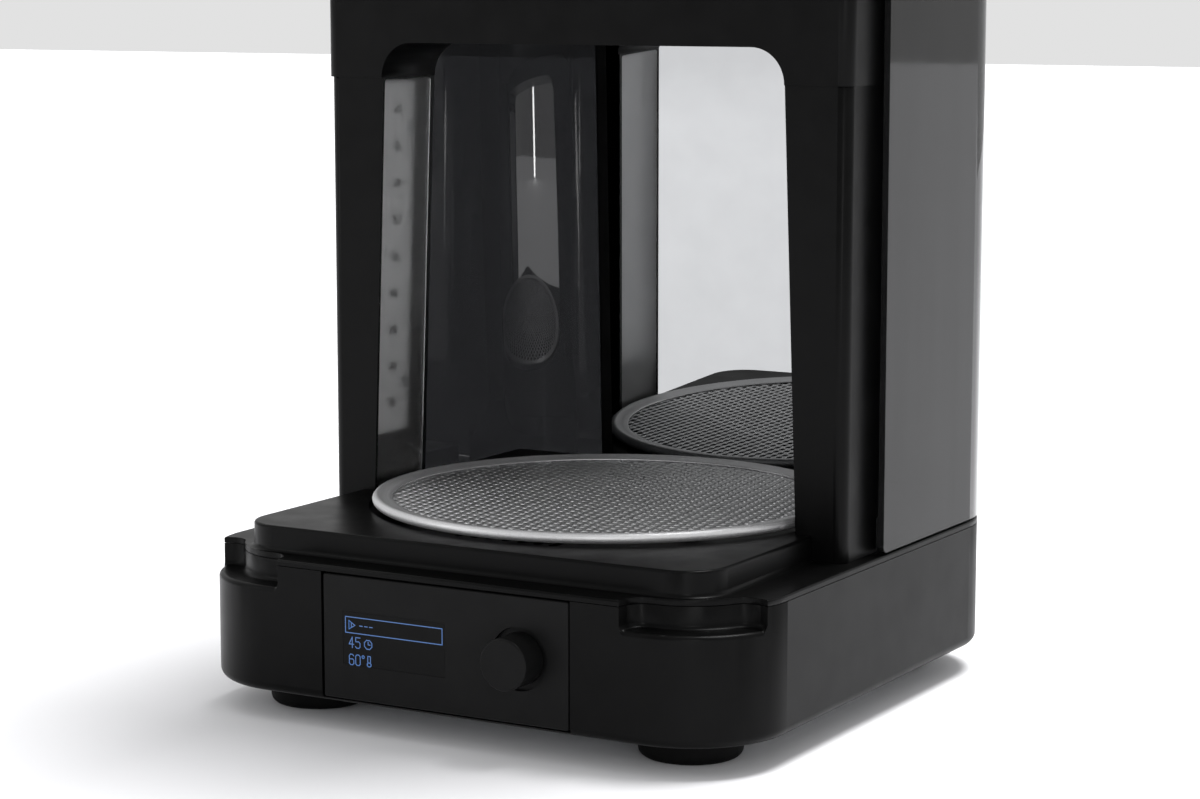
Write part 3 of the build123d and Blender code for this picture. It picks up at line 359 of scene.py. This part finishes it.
finish_of_slot = {
    "black_plastic": black,
    "panel_plastic": panel,
    "smoked_plastic": smoked("smoked_acrylic"),
    "knob_plastic": knob_look,
    "rubber": rubber("moulded_rubber"),
    "zinc_steel": zinc,
    "rim_steel": rim_look,
    "mesh_steel": mesh_look,
    "mirror": mirror_sheet("mirror_sheet"),
    "led_board": led_board("white_led_board"),
    "led_window": satin_window("satin_cover"),
    "led_chip": chip,
    "circuit_board": circuit_board("printed_circuit"),
    "electronics": parts_black,
    "display_glass": display,
    "motor_steel": can,
    "white_plastic": white_part,
    "duct_plastic": duct,
    "heater_aluminium": fins,
}
slot_of_node = {part["node"]: part["material_slot"] for part in frame["record"]["subparts"]}

for name, thing in nodes.items():
    slot = slot_of_node[name]
    look = finish_of_slot[slot]
    thing.data.materials.clear()
    thing.data.materials.append(look)

# Softened moulding edges, in millimetres, so that they catch the light as real ones do.
edge_widths = {
    "base_housing": 0.35,
    "top_deck": 0.35,
    "left_column": 0.6,
    "right_column": 0.6,
    "head_housing": 0.6,
    "roof_cover": 0.7,
    "rear_spine": 0.5,
    "rear_cover": 0.4,
    "left_shell": 0.35,
    "right_shell": 0.35,
    "hood_shell": 0.4,
    "hood_top": 0.3,
}
for name, width in edge_widths.items():
    thing = nodes[name]
    weld = thing.modifiers.new("weld", "WELD")
    weld.merge_threshold = 0.01 * MM
    bevel = thing.modifiers.new("edges", "BEVEL")
    bevel.width = width * MM
    bevel.segments = 2
    bevel.limit_method = "ANGLE"
    bevel.angle_limit = math.radians(40)
    bevel.harden_normals = True


# ---------------------------------------------------------------- pieces made here
def new_piece(name, mesh_maker, look, body, smooth=True):
    """A mesh object built by mesh_maker(bmesh), riding on body."""
    work = bmesh.new()
    mesh_maker(work)
    bmesh.ops.recalc_face_normals(work, faces=work.faces)
    data = bpy.data.meshes.new(name)
    work.to_mesh(data)
    work.free()
    for polygon in data.polygons:
        polygon.use_smooth = smooth
    made = bpy.data.objects.new(name, data)
    bpy.context.scene.collection.objects.link(made)
    made.data.materials.append(look)
    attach(made, body)
    return made


mesh_low, mesh_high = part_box("turntable_mesh")
mesh_radius = (mesh_high.x - mesh_low.x) / 2
mesh_mid = (mesh_low.z + mesh_high.z) / 2


def expanded_mesh(work):
    """Expanded metal: diamond holes with twisted strands, its edge pressed flat for the rolled rim."""
    across = 4.85 * MM
    along = 4.6 * MM
    steps = 12
    # Half sizes of a hole, as shares of the pitch across and of two rows.
    hole_width = 0.3
    hole_length = 0.235
    hole_roundness = 1.6
    # Strands tilt by lift at the hole's edge, and stand up by crown where they cross.
    lift = -0.3 * MM
    crown = 0.16 * MM
    crown_sharpness = 6
    turn = Matrix.Rotation(math.radians(36.5), 3, "Z")
    edge_gap = 0.3 * MM
    overrun = 0.5 * MM
    flat_from = mesh_radius - 3.1 * MM
    flat_to = mesh_radius - 2.5 * MM
    flat_share = 0.8
    flat_drop = 0.27 * MM
    rows = int(mesh_radius / along) + 1
    columns = int(mesh_radius / across) + 2

    def settle(x, y, z):
        """Pulls a point inside the rim and presses it down under the rolled band."""
        radius = math.hypot(x, y)
        limit = mesh_radius - edge_gap
        if radius > limit:
            x, y = x * limit / radius, y * limit / radius
        press = min(max((radius - flat_from) / (flat_to - flat_from), 0), 1)
        z = z * (1 - flat_share * press) - flat_drop * press
        return turn @ Vector((x, y, mesh_mid + z))

    for row in range(-rows, rows + 1):
        for column in range(-columns, columns + 1):
            cx = (column + (row % 2) / 2) * across
            cy = row * along
            if math.hypot(cx, cy) > mesh_radius + overrun:
                continue
            inner, outer = [], []
            for step in range(steps):
                angle = 2 * math.pi * step / steps
                c, s = math.cos(angle), math.sin(angle)
                diamond = 1 / (abs(c) / (across / 2) + abs(s) / along)
                ox, oy = diamond * c, diamond * s
                swell = (abs(c) ** hole_roundness + abs(s) ** hole_roundness) ** (-1 / hole_roundness)
                ix = hole_width * across * swell * c
                iy = hole_length * 2 * along * swell * s
                rise = crown * max(abs(c), abs(s)) ** crown_sharpness
                outer.append(work.verts.new(settle(cx + ox, cy + oy, rise)))
                inner.append(work.verts.new(settle(cx + ix, cy + iy, lift * s)))
            for step in range(steps):
                after = (step + 1) % steps
                work.faces.new((inner[step], inner[after], outer[after], outer[step]))
    bmesh.ops.remove_doubles(work, verts=work.verts, dist=0.02 * MM)
    bmesh.ops.dissolve_degenerate(work, edges=work.edges, dist=0.01 * MM)


tray_mesh = new_piece("tray_mesh", expanded_mesh, mesh_look, "tray")
thick = tray_mesh.modifiers.new("thickness", "SOLIDIFY")
thick.thickness = 0.36 * MM
thick.offset = 0.0
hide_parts("turntable_mesh")

rim_low, rim_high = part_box("turntable_rim")
rim_radius = (rim_high.x - rim_low.x) / 2


def rolled_rim(work):
    """Rolled rim: a bead outside, a shallow groove, a nearly flat band and a folded inner edge."""
    turns = 288
    bead = 2.2 * MM
    bead_steps = 17
    bead_x = rim_radius - bead
    bead_z = rim_low.z + bead
    fold = 0.42 * MM
    fold_steps = 5
    fold_x = mesh_radius - 2.7 * MM
    fold_z = mesh_high.z + 0.24 * MM
    profile = []
    for step in range(bead_steps):
        angle = math.radians(112 - step * 17.5)
        profile.append((bead_x + bead * math.cos(angle), bead_z + bead * math.sin(angle)))
    profile.append((bead_x - 1.2 * MM, bead_z - 0.25 * MM))
    first_wavy = len(profile)
    profile.append((mesh_radius - 2.4 * MM, bead_z - 0.12 * MM))
    for step in range(fold_steps):
        angle = math.radians(250 - step * 35)
        profile.append((fold_x + fold * math.cos(angle), fold_z + fold * math.sin(angle)))
    last_wavy = len(profile) - 1
    profile.append((fold_x + 2.2 * MM, mesh_high.z + 0.98 * MM))
    profile.append((bead_x - 1.6 * MM, bead_z + bead - 0.55 * MM))
    rings = []
    for turn in range(turns):
        angle = 2 * math.pi * turn / turns
        # The folded inner edge wanders a little, as a rolled edge does.
        wobble = 0.05 * MM * math.sin(9 * angle) + 0.04 * MM * math.sin(23 * angle + 1)
        ring = []
        for index, (radius, z) in enumerate(profile):
            if first_wavy <= index <= last_wavy:
                radius += wobble
            ring.append(work.verts.new((radius * math.cos(angle), radius * math.sin(angle), z)))
        rings.append(ring)
    count = len(profile)
    for turn in range(turns):
        here, there = rings[turn], rings[(turn + 1) % turns]
        for index in range(count):
            after = (index + 1) % count
            work.faces.new((here[index], there[index], there[after], here[after]))


tray_rim = new_piece("tray_rim", rolled_rim, rim_look, "tray")
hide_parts("turntable_rim")

# Display graphics: lit strokes just in front of the window.
window_low, window_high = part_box("display_window")
stroke = 0.36 * MM
stroke_depth = 0.04 * MM
cell_width = 2.2 * MM
cell_height = 4.3 * MM
cell_pitch = 3.1 * MM
side_margin = 1.2 * MM
top_margin = 2.1 * MM
bar_height = 6.5 * MM
row_pitch = 7.1 * MM
row_foot = 1.1 * MM
text_indent = 1.7 * MM

digits = {
    "4": [[(0.7, 1), (0, 0.32), (1, 0.32)], [(0.7, 1), (0.7, 0)]],
    "5": [
        [(1, 1), (0.05, 1), (0.05, 0.6), (0.7, 0.62), (1, 0.48)],
        [(1, 0.48), (1, 0.14), (0.75, 0), (0.25, 0), (0, 0.12)],
    ],
    "6": [
        [(0.95, 0.88), (0.72, 1), (0.28, 1), (0, 0.86), (0, 0.14)],
        [(0, 0.14), (0.28, 0), (0.72, 0), (1, 0.14), (1, 0.42)],
        [(1, 0.42), (0.75, 0.56), (0, 0.54)],
    ],
    "0": [
        [(0.28, 0), (0, 0.14), (0, 0.86), (0.28, 1), (0.72, 1)],
        [(0.72, 1), (1, 0.86), (1, 0.14), (0.72, 0), (0.28, 0)],
    ],
}


def display_strokes(work):
    """Outline bar, play mark, two rows of digits and two small marks."""
    y = window_low.y

    def line(ax, az, bx, bz, width=stroke):
        a, b = Vector((ax, 0, az)), Vector((bx, 0, bz))
        way = (b - a).normalized() * width / 2
        side = Vector((-way.z, 0, way.x))
        corners = [a - way - side, b + way - side, b + way + side, a - way + side]
        front = [work.verts.new((p.x, y - stroke_depth, p.z)) for p in corners]
        back = [work.verts.new((p.x, y, p.z)) for p in corners]
        work.faces.new(front)
        work.faces.new(back[::-1])
        for index in range(4):
            after = (index + 1) % 4
            work.faces.new((front[index], back[index], back[after], front[after]))

    def path(points, left, foot, width, height):
        for (ax, az), (bx, bz) in zip(points, points[1:]):
            line(left + ax * width, foot + az * height, left + bx * width, foot + bz * height)

    left = window_low.x + side_margin
    right = window_high.x - side_margin
    top = window_high.z - top_margin
    path([(0, 0), (1, 0), (1, 1), (0, 1), (0, 0)], left, top - bar_height, right - left, bar_height)

    # Play mark with a doubled left edge, and three short bars.
    mark = left + text_indent
    play_foot, play_width, play_height = top - 5.0 * MM, 2.9 * MM, 3.5 * MM
    path([(0, 0), (0, 1), (1, 0.5), (0, 0)], mark, play_foot, play_width, play_height)
    path([(0, 0), (0, 1), (0.4, 0.8), (0.4, 0.2), (0, 0)], mark, play_foot, play_width, play_height)
    dash_z, dash_start, dash_length, dash_pitch = top - 3.25 * MM, mark + 5.2 * MM, 1.3 * MM, 2.4 * MM
    for index in range(3):
        dash_left = dash_start + index * dash_pitch
        line(dash_left, dash_z, dash_left + dash_length, dash_z)

    # Two rows of digits.
    row_feet = [top - bar_height - row_pitch * row + row_foot for row in (1, 2)]
    for foot, word in zip(row_feet, ("45", "60")):
        for place, digit in enumerate(word):
            for points in digits[digit]:
                path(points, mark + place * cell_pitch, foot, cell_width, cell_height)

    # An eight-sided ring makes the clock, the degree mark and the thermometer's bulb.
    corners = [math.radians(45 * step + 22.5) for step in range(9)]
    ring = [(0.5 + 0.5 * math.cos(corner), 0.5 + 0.5 * math.sin(corner)) for corner in corners]
    clock_size = 3.9 * MM
    clock_x, clock_z = mark + 9.25 * MM, row_feet[0] + clock_size / 2
    path(ring, clock_x - clock_size / 2, row_feet[0], clock_size, clock_size)
    line(clock_x, clock_z, clock_x, clock_z + 1.15 * MM)
    line(clock_x, clock_z, clock_x + 0.95 * MM, clock_z)
    degree_size = 1.1 * MM
    path(ring, mark + 6.2 * MM, row_feet[1] + 3.2 * MM, degree_size, degree_size)
    tube, tube_width = mark + 9.0 * MM, 1.3 * MM
    bulb_width, bulb_height = 2.0 * MM, 1.7 * MM
    path([(0, 0.3), (0, 1), (1, 1), (1, 0.3)], tube, row_feet[1], tube_width, cell_height)
    path(ring, tube - (bulb_width - tube_width) / 2, row_feet[1], bulb_width, bulb_height)


glow = Look("display_blue")
glow_cells = glow.noise(2600.0, 1.0)
glow.set(grey(0.01), 0.5)
glow.link(
    glow.colours(glow_cells, (0.06, 0.145, 0.37), (0.085, 0.19, 0.46)),
    glow.shader.inputs["Emission Color"],
)
glow.shader.inputs["Emission Strength"].default_value = 1.0
new_piece("display_marks", display_strokes, glow.material, "machine", smooth=False)

# ---------------------------------------------------------------- floor, light and camera
floor_data = bpy.data.meshes.new("floor")
floor_half = 9.0
floor_corners = [(x * floor_half, y * floor_half, 0) for x, y in ((-1, -1), (1, -1), (1, 1), (-1, 1))]
floor_data.from_pydata(floor_corners, [], [(0, 1, 2, 3)])
floor = bpy.data.objects.new("floor", floor_data)
floor.data.materials.append(grained_floor("pale_floor"))
bpy.context.scene.collection.objects.link(floor)

# Pale room all round, a little darker in front of the machine.
front_direction = (-0.25, -0.93, 0.0)
room_level = 1.0
front_level = 0.7
room_strength = 0.76
world = bpy.data.worlds.new("studio")
bpy.context.scene.world = world
world.use_nodes = True
sky = world.node_tree
background = sky.nodes["Background"]
direction = sky.nodes.new("ShaderNodeTexCoord").outputs["Generated"]
front = sky.nodes.new("ShaderNodeVectorMath")
front.operation = "DOT_PRODUCT"
front.inputs[1].default_value = front_direction
sky.links.new(direction, front.inputs[0])
shade = sky.nodes.new("ShaderNodeValToRGB")
shade.color_ramp.elements[0].position = 0.15
shade.color_ramp.elements[0].color = (room_level, room_level, room_level, 1)
shade.color_ramp.elements[1].position = 0.5
shade.color_ramp.elements[1].color = (front_level, front_level, front_level, 1)
sky.links.new(front.outputs["Value"], shade.inputs["Fac"])
sky.links.new(shade.outputs["Color"], background.inputs["Color"])
background.inputs["Strength"].default_value = room_strength


def softbox(name, place, width, height, watts):
    """A rectangular lamp turned towards the middle of the chamber."""
    lamp = bpy.data.lights.new(name, "AREA")
    lamp.shape = "RECTANGLE"
    lamp.size = width
    lamp.size_y = height
    lamp.energy = watts
    holder = bpy.data.objects.new(name, lamp)
    holder.location = place
    holder.rotation_euler = (lamp_target - holder.location).to_track_quat("-Z", "Y").to_euler()
    bpy.context.scene.collection.objects.link(holder)


lamp_target = Vector((0, 0, 0.2))
softbox("strip_front", (1.35, -2.3, 0.75), 0.1, 1.5, 9)
softbox("strip_left", (-1.9, -1.6, 1.1), 0.25, 1.4, 8)

# Broad soft light from above, a little from behind and from one side.
sun_light = bpy.data.lights.new("ceiling", "SUN")
sun_light.energy = 3.2
sun_light.angle = math.radians(24)
sun = bpy.data.objects.new("ceiling", sun_light)
sun.rotation_euler = Euler((math.radians(-14), math.radians(8), 0))
bpy.context.scene.collection.objects.link(sun)

camera_azimuth = 30.01
camera_elevation = 8.11
camera_data = bpy.data.cameras.new("camera")
camera_data.sensor_width = 36.0
camera_data.lens = 88.1
camera = bpy.data.objects.new("camera", camera_data)
camera.location = (0.62195, -1.08338, 0.30173)
camera.rotation_euler = Euler((math.radians(90 - camera_elevation), 0, math.radians(camera_azimuth)))
bpy.context.scene.collection.objects.link(camera)
bpy.context.scene.camera = camera
bpy.context.scene.view_settings.view_transform = "Standard"
